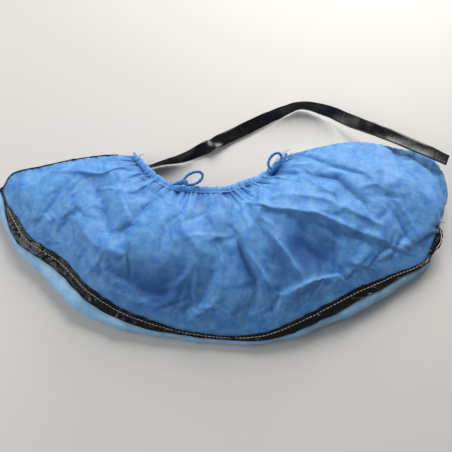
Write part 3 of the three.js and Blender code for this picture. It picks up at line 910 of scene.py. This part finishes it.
def buildHem():
    points, inward, places = hemLine()
    steps = hemLook["steps"]
    length = lengthAlong(np.concatenate([points, points[:1]]))
    wanted = np.arange(steps) / steps * length[-1]
    line = resampled(points, length, wanted)
    for _ in range(3):
        line = (np.roll(line, 1, axis=0) + 2 * line + np.roll(line, -1, axis=0)) / 4
    tangent = unit(np.roll(line, -2, axis=0) - np.roll(line, 2, axis=0))
    width = resampled(inward, length, wanted)
    width = unit(width - tangent * (width * tangent).sum(axis=1, keepdims=True))
    thick = np.cross(tangent, width)
    place = resampled(places, length, wanted)
    angle = np.arange(hemLook["sides"]) * 2 * math.pi / hemLook["sides"]
    # a folded band: flat rather than round
    flatCos = np.sign(np.cos(angle)) * np.abs(np.cos(angle)) ** 0.8
    flatSin = np.sign(np.sin(angle)) * np.abs(np.sin(angle)) ** 0.75
    reach = hemLook["pleatsReach"]
    down = np.full((1, 1), hemLook["pleatsRead"] / reach)
    pleat = gatherPleats(place[:, None], down, np.full((1, 1), reach))[:, 0]
    pleat = pleat + wander(wanted, 31, (5.2, 2.7), (0.10, 0.06))
    inner = eased((np.cos(angle) + 0.7) / 1.4)
    spread = hemLook["edge"] + (1 - hemLook["edge"]) * inner[None, :]
    ripple = pleat[:, None] * spread * hemLook["pleat"]
    scallop = hemLook["scallop"] * wander(wanted, 32, (7.0, 3.4), (0.8, 0.6))
    taper = 1 - hemLook["taper"] * np.exp(-np.minimum(place, 1 - place) / hemLook["taperReach"])
    widthWave = 1 + 0.05 * wander(wanted, 34, (11.0, 4.0), (0.6, 0.5))
    thickWave = 1 + 0.12 * wander(wanted, 33, (14.0, 5.0), (0.6, 0.5))
    halfWidth = cover["hemWidth"] / 2 * taper * widthWave
    halfThick = cover["hemThickness"] / 2 * taper * thickWave
    sideways = flatCos[None, :] * halfWidth[:, None] + scallop[:, None] * (1 - inner)
    body = (
        line[:, None, :]
        + width[:, None, :] * sideways[..., None]
        + thick[:, None, :] * (flatSin[None, :] * halfThick[:, None])[..., None]
    )
    # the pleats press both faces of the band towards its middle
    press = ripple * np.sign(flatSin)[None, :] * np.abs(flatSin)[None, :]
    body = body + thick[:, None, :] * press[..., None]
    uv = uvGrid(wanted, angle * hemLook["girthRadius"])
    faces = gridFaces(steps, hemLook["sides"], joinRows=True, joinColumns=True)
    # painted shade: the band's colour darkens along the pleats' valleys, most towards its inward edge
    darkColourAndPaintedShade = np.clip(-pleat[:, None] * inner[None, :] / hemLook["shadeDepth"] - 0.1, 0, 0.7)
    return addMesh("hemCasing", body.reshape(-1, 3), faces, casingCloth, uv, paintedShade=darkColourAndPaintedShade)


hemPiece = buildHem()
print("hem made")


# conductive strip: folded over the seam, narrow where the cloth covers it
stripLook = {
    "steps": 900,
    "columns": 19,
    "lift": 0.75,
    "wall": 0.35,
    "width": 12,
    "seed": 8,
    "crinkles": 170,
    "crinkleHeight": (0.15, 0.75),
    "crinkleWidth": (0.7, 2.2),
    "crinkleSlant": 3.5,
    "start": 0.006,
    "end": 0.972,
    "guides": (-1, -0.3, 0, 0.3, 1),  # from the near edge over the fold to the far edge
    "stitchOffset": 0.3,  # share of the way from the fold to the near edge
    "foldReach": 2,  # the fold's direction is read this far in from the seam
    "foldPull": 0.5,
    "pressed": 0.85,  # share of the crinkles that the stitches press flat
    "pressedWidth": 0.22,
    "groove": 0.18,
    "grooveWidth": 0.09,
    "deepest": -0.15,
    "curl": 0.5,
    "curlFrom": 0.86,  # share of the way from the middle to an edge
}


def seamPlace(share):
    # a place along the strip as a place on the panels, with the way inwards from the seam
    turn = eased((share - cover["soleShare"] + cover["turnWidth"]) / (2 * cover["turnWidth"]))
    inward = unit(np.stack([turn, turn - 1], axis=-1))
    onSole = share < cover["soleShare"]
    across = np.where(onSole, 1 - share / cover["soleShare"], 0)
    down = np.where(onSole, 1, 1 - (share - cover["soleShare"]) / (1 - cover["soleShare"]))
    return across, down, inward


def besideSeam(surface, turn, share, distance, lift):
    # points on a panel, this far in from the seam and lifted off the cloth
    across, down, inward = seamPlace(share)
    scale = np.array(distance, float) * np.ones(len(share))
    here = surface(across, down)
    for _ in range(4):
        a = np.clip(across + inward[:, 0] * scale / cover["soleLength"], 0, 1)
        d = np.clip(down + inward[:, 1] * scale / cover["endLength"], 0, 1)
        actual = np.linalg.norm(surface(a, d) - here, axis=1)
        scale = scale * distance / np.maximum(actual, 0.2)
    return surface(a, d) + normalAt(surface, a, d, turn) * np.asarray(lift).reshape(-1, 1)


def seamFold(share, lift):
    # points just outside the seam itself, where the ribbon is folded over it
    across, down, _ = seamPlace(share)
    seam = (nearSurface(across, down) + farSurface(across, down)) / 2
    reach = stripLook["foldReach"]
    inside = (besideSeam(nearSurface, 1, share, reach, 0) + besideSeam(farSurface, -1, share, reach, 0)) / 2
    nearNormal = normalAt(nearSurface, across, down, 1)
    farNormal = normalAt(farSurface, across, down, -1)
    outward = (seam - inside) * stripLook["foldPull"] + nearNormal + farNormal
    return seam + unit(outward) * np.asarray(lift).reshape(-1, 1)


# columns: share, half width on the near panel, half width on the far panel, crinkling
stripAt = smoothRows([
    (0.0, 6.2, 2.2, 2.6), (0.02, 6.4, 2.4, 2.6), (0.05, 3.6, 2.6, 1.6), (0.09, 3.2, 2.8, 1.3),
    (0.14, 5.8, 5.4, 0.9), (0.24, 6.2, 5.8, 0.9), (0.31, 4.4, 3.6, 1.1), (0.36, 2.8, 2.0, 1.5),
    (0.42, 2.8, 2.2, 1.5), (0.48, 5.0, 4.4, 1.1), (0.56, 6.2, 6.0, 1.0), (0.66, 6.6, 6.2, 1.3),
    (0.735, 6.2, 5.6, 1.6), (0.752, 4.4, 3.6, 1.6), (0.765, 1.8, 1.4, 1.4), (0.785, 1.2, 1.0, 0.8),
    (0.82, 1.2, 1.2, 0.6), (0.87, 1.0, 2.4, 0.6), (1.0, 1.2, 3.2, 0.6),
])


def stripGuides(share, onNear, onFar):
    inner, lift = stripLook["guides"][3], stripLook["lift"]
    guides = np.stack([
        besideSeam(nearSurface, 1, share, onNear, lift),
        besideSeam(nearSurface, 1, share, onNear * inner, lift),
        seamFold(share, lift),
        besideSeam(farSurface, -1, share, onFar * inner, lift),
        besideSeam(farSurface, -1, share, onFar, lift),
    ], axis=1)
    for _ in range(4):
        # evened out along the strip
        guides[1:-1] = (guides[:-2] + 2 * guides[1:-1] + guides[2:]) / 4
    return guides


def acrossGuides(guides, columns):
    # a smooth curve through the guides, read at each column
    places = np.array(stripLook["guides"])
    last = len(places) - 1
    grid = np.empty((len(guides), len(columns), 3))
    for j, place in enumerate(columns):
        right = int(np.clip(np.searchsorted(places, place, side="right"), 1, last))
        left = right - 1
        before, after = max(left - 1, 0), min(right + 1, last)
        span = places[right] - places[left]
        p0, p1 = guides[:, left], guides[:, right]
        m0 = (p1 - guides[:, before]) / (places[right] - places[before]) * span
        m1 = (guides[:, after] - p0) / (places[after] - places[left]) * span
        t = (place - places[left]) / span
        t2, t3 = t * t, t * t * t
        grid[:, j] = (
            (2 * t3 - 3 * t2 + 1) * p0 + (t3 - 2 * t2 + t) * m0 + (3 * t2 - 2 * t3) * p1 + (t3 - t2) * m1
        )
    return grid


def stripCrinkles(path, columns):
    # crinkles across the ribbon, each slanted its own way
    random = np.random.default_rng(stripLook["seed"])
    height = np.zeros((len(path), len(columns)))
    for _ in range(stripLook["crinkles"]):
        centre = random.uniform(0, cover["seamLength"])
        slant = random.normal(0, stripLook["crinkleSlant"])
        width = random.uniform(*stripLook["crinkleWidth"])
        rise = random.uniform(*stripLook["crinkleHeight"])
        middle, reach = random.uniform(-0.9, 0.9), random.uniform(0.3, 1.0)
        offset = (path[:, None] - centre - slant * columns[None, :]) / width
        fade = np.exp(-((columns - middle) / reach) ** 2)[None, :]
        height += rise * np.exp(-offset * offset) * fade
    return height


def stripSurface():
    share = np.linspace(stripLook["start"], stripLook["end"], stripLook["steps"] + 1)
    sizes = stripAt(share)
    path = share * cover["seamLength"]
    onNear = sizes[:, 1] * (1 + wander(path, 41, (26, 9), (0.05, 0.04)))
    onFar = sizes[:, 2] * (1 + wander(path, 42, (29, 11), (0.04, 0.03)))
    columns = np.linspace(-1, 1, stripLook["columns"])
    grid = acrossGuides(stripGuides(share, onNear, onFar), columns)
    normal = unit(np.cross(np.gradient(grid, axis=0), np.gradient(grid, axis=1)))
    # the ribbon's normal points away from the cloth, as the near panel's does
    middle = onNear * 0.5
    above = besideSeam(nearSurface, 1, share, middle, 1) - besideSeam(nearSurface, 1, share, middle, 0)
    flip = np.sign((normal[:, 4] * above).sum(axis=1).mean())
    normal = normal * flip
    # the stitches hold the ribbon flat and pull a shallow groove
    fromStitches = columns + stripLook["stitchOffset"]
    height = stripCrinkles(path, columns)
    height *= sizes[:, 3][:, None]
    height *= 1 - stripLook["pressed"] * np.exp(-(fromStitches / stripLook["pressedWidth"]) ** 2)[None, :]
    height -= stripLook["groove"] * np.exp(-(fromStitches / stripLook["grooveWidth"]) ** 2)[None, :]
    # the ribbon's edges curl up a little
    edge = np.abs(columns)[None, :] > stripLook["curlFrom"]
    height += stripLook["curl"] * edge * (0.5 + wander(path, 44, (17, 7), (0.3, 0.3)))[:, None]
    grid = grid + normal * np.maximum(height, stripLook["deepest"])[..., None]
    return grid, normal, path, columns, flip


stripGrid, stripNormal, stripPath, stripColumns, stripFlip = stripSurface()
stripUv = uvGrid(stripPath, stripColumns * stripLook["width"] / 2)
stripPiece = addGrid("stripRibbon", stripGrid, ribbon, stripUv, flip=stripFlip < 0)
print("strip made")

# where the strip ends at the heel it is gathered up into a crumpled bunch
bunchLook = {"steps": 70, "sides": 40, "squash": 0.62}
# columns: x, y, z, radius
bunchRows = [
    (191.8, 11.5, 15.5, 2.4), (192.2, 8.0, 16.4, 3.0), (192.6, 3.5, 16.8, 3.3), (191.8, -1.5, 16.6, 3.1),
    (189.8, -6.0, 16.2, 2.9), (187.0, -10.0, 15.6, 2.4), (183.0, -14.5, 15.0, 1.5),
]


def buildBunch():
    values, _ = curveThrough(bunchRows, bunchLook["steps"])

    def creases(step, around):
        along = step * 0.42
        deep = 0.15 * np.sin(3 * around + 1.4 * np.sin(along * 0.6))
        shallow = 0.07 * np.sin(5 * around - along * 0.7)
        return 1 + (deep + shallow) + 0.05 * np.sin(along * 0.9 + around)

    return sweepTube(
        "stripBunch", values[:, :3], values[:, 3], bunchLook["sides"], ribbon,
        squash=bunchLook["squash"], bumps=creases)


bunchPiece = buildBunch()
print("heel end of the strip made")

# stitches: one line of them on the strip, a little in from the fold
stitchLook = {
    "pitch": 3.3,
    "length": 2.7,
    "thickness": 0.38,
    "seed": 4,
    "wobble": 0.12,
    "first": 8,  # rows of the strip between which the stitches run
    "last": 698,
    "lift": 0.28,  # above the ribbon's face
}


def makeStitchTree(material):
    tree = bpy.data.node_groups.new("stitch line", "GeometryNodeTree")
    face = tree.interface
    face.new_socket("Line", in_out="INPUT", socket_type="NodeSocketGeometry")
    for name in ("Pitch", "Length", "Thickness", "Wobble"):
        face.new_socket(name, in_out="INPUT", socket_type="NodeSocketFloat")
    face.new_socket("Seed", in_out="INPUT", socket_type="NodeSocketInt")
    face.new_socket("Stitches", in_out="OUTPUT", socket_type="NodeSocketGeometry")
    given = addNode(tree, "NodeGroupInput")
    toCurve = addNode(tree, "GeometryNodeMeshToCurve", None, {"Mesh": given.outputs["Line"]})
    spaced = addNode(tree, "GeometryNodeResampleCurve", {"mode": "LENGTH"}, {
        "Curve": toCurve.outputs["Curve"], "Length": given.outputs["Pitch"],
    })
    tangent = addNode(tree, "GeometryNodeInputTangent")
    wobble = addNode(tree, "FunctionNodeRandomValue", {"data_type": "FLOAT_VECTOR"}, {
        "Seed": given.outputs["Seed"],
    })
    centred = addNode(tree, "ShaderNodeVectorMath", {"operation": "SUBTRACT", 1: (0.5, 0.5, 0.5)}, {
        0: wobble.outputs["Value"],
    })
    scaled = addNode(tree, "ShaderNodeVectorMath", {"operation": "SCALE"}, {
        0: centred.outputs["Vector"], "Scale": given.outputs["Wobble"],
    })
    heading = addNode(tree, "ShaderNodeVectorMath", {"operation": "ADD"}, {
        0: tangent.outputs["Tangent"], 1: scaled.outputs["Vector"],
    })
    turned = addNode(tree, "FunctionNodeAlignRotationToVector", {"axis": "Z"}, {
        "Vector": heading.outputs["Vector"],
    })
    stitch = addNode(tree, "GeometryNodeMeshUVSphere", {"Segments": 8, "Rings": 6, "Radius": 0.5})
    size = addNode(tree, "ShaderNodeCombineXYZ", None, {
        "X": given.outputs["Thickness"], "Y": given.outputs["Thickness"], "Z": given.outputs["Length"],
    })
    placed = addNode(tree, "GeometryNodeInstanceOnPoints", None, {
        "Points": spaced.outputs["Curve"], "Instance": stitch.outputs["Mesh"],
        "Rotation": turned.outputs["Rotation"], "Scale": size.outputs["Vector"],
    })
    real = addNode(tree, "GeometryNodeRealizeInstances", None, {"Geometry": placed.outputs["Instances"]})
    coloured = addNode(tree, "GeometryNodeSetMaterial", {"Material": material}, {
        "Geometry": real.outputs["Geometry"],
    })
    addNode(tree, "NodeGroupOutput", None, {"Stitches": coloured.outputs["Geometry"]})
    return tree


def stitchAlong(name, points, tree, look):
    line = bpy.data.meshes.new(name + "Line")
    line.from_pydata([tuple(p) for p in points * mm], [(k, k + 1) for k in range(len(points) - 1)], [])
    carrier = bpy.data.objects.new(name + "Line", line)
    scene.collection.objects.link(carrier)
    modifier = carrier.modifiers.new("stitches", "NODES")
    modifier.node_group = tree
    values = {
        "Pitch": look["pitch"] * mm, "Length": look["length"] * mm, "Thickness": look["thickness"] * mm,
        "Wobble": look["wobble"], "Seed": look["seed"],
    }
    for item in tree.interface.items_tree:
        if item.item_type == "SOCKET" and item.in_out == "INPUT" and item.name in values:
            modifier[item.identifier] = values[item.name]
    solved = carrier.evaluated_get(bpy.context.evaluated_depsgraph_get())
    mesh = bpy.data.meshes.new_from_object(solved)
    mesh.name = name
    bpy.data.objects.remove(carrier)
    piece = bpy.data.objects.new(name, mesh)
    scene.collection.objects.link(piece)
    for polygon in mesh.polygons:
        polygon.use_smooth = True
    return piece


stitchColumn = int(np.argmin(np.abs(stripColumns + stripLook["stitchOffset"])))
stitchRows = slice(stitchLook["first"], stitchLook["last"])
stitchLift = stripLook["wall"] + stitchLook["lift"]
stitchLine = stripGrid[stitchRows, stitchColumn] + stripNormal[stitchRows, stitchColumn] * stitchLift
stitchTree = makeStitchTree(sewingThread)
stitchPiece = stitchAlong("stripStitches", stitchLine, stitchTree, stitchLook)
print("stitches made")

# free tail of the strip, tucked into the sock when worn
tailLook = {"width": 12.0, "wall": 0.5, "steps": 260, "columns": 9, "cup": 0.5}
# columns: x, y, z, tilt of the ribbon's width above level in degrees
tailRows = [
    (-84, 77, 7.6, 92), (-77, 74.5, 7.2, 100), (-70, 74.2, 7.0, 103), (-58, 77.6, 7.0, 98),
    (-38, 83.4, 7.2, 72), (-17, 94, 6, 34), (-9, 98.6, 5.6, -10), (0, 103.8, 5.1, 18),
    (17, 113, 4.4, 20), (52, 130.5, 6, 50), (78, 140, 7.5, 82), (101, 134, 8, 58), (124, 120, 12, 34),
    (146, 106, 19, 16), (167, 92, 25, 2), (192, 78.5, 26.4, -3), (206, 71.5, 25.6, -10),
]


def buildTail():
    values, wanted = curveThrough(tailRows, tailLook["steps"] + 1)
    line = values[:, :3]
    tangent = unit(np.gradient(line, axis=0))
    level = unit(np.stack([-tangent[:, 1], tangent[:, 0], np.zeros(len(line))], axis=1))
    tilt = np.radians(values[:, 3])[:, None]
    width = level * np.cos(tilt) + np.cross(tangent, level) * np.sin(tilt)
    thick = unit(np.cross(tangent, width))
    columns = np.linspace(-1, 1, tailLook["columns"])
    half = tailLook["width"] / 2 * (1 + wander(wanted, 51, (33, 12), (0.01, 0.008)))
    cupWave = 1 + wander(wanted, 52, (60, 23), (0.4, 0.3))
    cup = tailLook["cup"] * (columns ** 2 - 0.3)[None, :] * cupWave[:, None]
    ripple = wander(wanted[:, None] + columns[None, :] * 2.5, 53, (27, 11), (0.16, 0.09))
    grid = (
        line[:, None, :]
        + width[:, None, :] * (half[:, None] * columns[None, :])[..., None]
        + thick[:, None, :] * (cup + ripple)[..., None]
    )
    piece = addGrid("tailRibbon", grid, ribbon, uvGrid(wanted, columns * tailLook["width"] / 2))
    return piece, line, float(np.linalg.norm(np.diff(line, axis=0), axis=1).sum())


tailPiece, tailLine, tailLength = buildTail()
print("tail made,", round(tailLength, 1), "mm long")

# elastic loops: each a ring of cord with a gathered base
# columns: x, y, z, half length, half width, turn, lean, phase of its unevenness
loopRows = {
    "loopToe": (-25.5, 50, 33.5, 9.2, 5.2, 28, 6, 0.4),
    "loopHeel": (48.5, 71, 25.5, 8.6, 5.2, 58, 14, 1.7),
}
loopLook = {"cord": 2.6, "steps": 120, "sides": 12, "twist": 16}
# start, middle and end of each gathered base, and its radius at the three
knotRows = {
    "loopToe": ((-30.0, 46.0, 33.4), (-35.5, 46.2, 33.4), (-43.5, 45.4, 30.4), (1.7, 2.5, 0.8)),
    "loopHeel": ((54.5, 72.5, 24.5), (50.0, 66.6, 25.0), (44.8, 60.4, 26.0), (1.2, 2.1, 0.9)),
}
knotLook = {"steps": 18, "sides": 14, "squash": 0.8}


def buildLoop(name, row):
    x, y, z, halfLength, halfWidth, turn, lean, phase = row
    turned = Matrix.Rotation(math.radians(turn), 3, "Z") @ Matrix.Rotation(math.radians(lean), 3, "X")
    angle = np.arange(loopLook["steps"]) * 2 * math.pi / loopLook["steps"]
    # a teardrop that closes at its knot
    narrow = 1 - 0.22 * np.exp(-((angle - math.pi) / 0.7) ** 2)
    flat = np.stack([
        np.cos(angle) * halfLength, np.sin(angle) * halfWidth * narrow, 0.5 * np.sin(2 * angle + 0.6),
    ], axis=1)
    line = flat @ np.array(turned).T + np.array([x, y, z])

    def bumps(step, around):
        turns = loopLook["twist"] * 2 * math.pi * step / loopLook["steps"]
        slow = 0.06 * np.sin(turns * 0.31 + phase) + 0.05 * np.sin(turns * 0.83 + 2 * phase)
        return 0.94 + 0.07 * np.sin(turns + around * 2) + slow

    ring = sweepTube(
        name, line, loopLook["cord"] / 2, loopLook["sides"], elasticYarn, closed=True, bumps=bumps)

    # the knot: the cord's two ends gathered under the hem's stitching
    start, middle, end, thickness = [np.array(part) for part in knotRows[name]]
    t = np.linspace(0, 1, knotLook["steps"])[:, None]
    path = start * (1 - t) * (1 - 2 * t) + 4 * middle * t * (1 - t) + end * t * (2 * t - 1)
    radii = np.interp(t[:, 0], (0, 0.5, 1), thickness)

    def wraps(step, around):
        return 1 + 0.09 * np.sin(around * 3 + step * 0.9) + 0.05 * np.sin(around * 5 - step * 1.7)

    knot = sweepTube(
        name + "Knot", path, radii, knotLook["sides"], elasticYarn, squash=knotLook["squash"], bumps=wraps)
    return ring, knot


loopPieces = {name: buildLoop(name, row) for name, row in loopRows.items()}
print("loops made")

# loose threads at the trimmed seams
threadLook = {"diameter": 0.42, "steps": 26, "sides": 6}
threadRows = {
    "threadCorner": (darkThread, [(-78, 74, 18), (-76, 77.5, 20), (-74.5, 80, 20.5), (-72, 80.5, 19.5)]),
    "threadLoopA": (darkThread, [(46, 66, 26), (51, 73, 29.5), (57, 78, 30), (62, 82, 27)]),
    "threadLoopB": (darkThread, [(45, 67, 25), (54, 71, 28.5), (61, 75, 28), (65, 80, 25.5)]),
    "threadHeel": (darkThread, [(192, 8, 19), (192.5, 12, 21), (195, 13.5, 21.5), (198, 12.8, 20.5)]),
    "threadHeelTan": (sewingThread, [(193, 6, 20.5), (193.5, 1, 21), (191.5, -6, 20.6), (188, -11, 19)]),
}


def threadThrough(name, material, points):
    line, _ = curveThrough(points, threadLook["steps"])
    return sweepTube(name, line, threadLook["diameter"] / 2, threadLook["sides"], material)


threadPieces = [threadThrough(name, *row) for name, row in threadRows.items()]
print("threads made")

# walls, and how the pieces belong together
addWall(nearPiece, nearPanel["wall"], -1)
addWall(farPiece, farPanel["wall"], -1)
addWall(stripPiece, stripLook["wall"], 1)
addWall(tailPiece, tailLook["wall"], 0)

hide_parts("near_panel")
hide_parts("far_panel")
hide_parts("elastic_hem")
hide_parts("conductive_strip")
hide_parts("conductive_tail")
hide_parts("hem_loop_toe")
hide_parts("hem_loop_heel")

everyPiece = [nearPiece, farPiece, hemPiece, stripPiece, bunchPiece, stitchPiece, tailPiece, *threadPieces]
for ring, knot in loopPieces.values():
    everyPiece += [ring, knot]
for piece in everyPiece:
    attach(piece, "root")

# floor and light
floorLook = {"colour": "#d0cdc8", "size": 6.0, "speck": 1.111}  # size in metres


def buildFloor():
    material, tree = newMaterial("matt laminate table top")
    solid = addNode(tree, "ShaderNodeTexCoord")
    speck = addNode(tree, "ShaderNodeTexNoise", {"Scale": 1000 / floorLook["speck"], "Detail": 3.0}, {
        "Vector": solid.outputs["Object"],
    })
    bump = addNode(tree, "ShaderNodeBump", {"Strength": 0.05, "Distance": 0.0002}, {
        "Height": speck.outputs["Fac"],
    })
    body = addNode(tree, "ShaderNodeBsdfPrincipled", {
        "Base Color": linearColour(floorLook["colour"]), "Roughness": 0.55, "IOR": 1.45,
    }, {"Normal": bump.outputs["Normal"]})
    addNode(tree, "ShaderNodeOutputMaterial", None, {"Surface": body.outputs["BSDF"]})
    half = floorLook["size"] / 2 / mm
    corners = [(-half, -half, 0), (half, -half, 0), (half, half, 0), (-half, half, 0)]
    floor = addMesh("floor", corners, [(0, 1, 2, 3)], material, smooth=False)


buildFloor()

lights = {
    "window": {"place": (0.30, 0.98, 0.66), "size": 0.8, "power": 20.2, "colour": (1.0, 0.985, 0.96)},
    "room": {"place": (-1.0, -0.1, 0.7), "size": 0.8, "power": 6.5, "colour": (0.94, 0.97, 1.0)},
}
lightAim = Vector((0, 0, 0.01))
worldLook = {"colour": "#e9edf2", "strength": 0.24}
for name, look in lights.items():
    lamp = bpy.data.lights.new(name, "AREA")
    lamp.energy = look["power"]
    lamp.size = look["size"]
    lamp.color = look["colour"]
    holder = bpy.data.objects.new(name, lamp)
    holder.location = look["place"]
    holder.rotation_euler = (lightAim - Vector(look["place"])).to_track_quat("-Z", "Y").to_euler()
    scene.collection.objects.link(holder)

world = bpy.data.worlds.new("studio")
world.use_nodes = True
background = world.node_tree.nodes["Background"]
background.inputs["Color"].default_value = linearColour(worldLook["colour"])
background.inputs["Strength"].default_value = worldLook["strength"]
scene.world = world
print("floor and light placed")
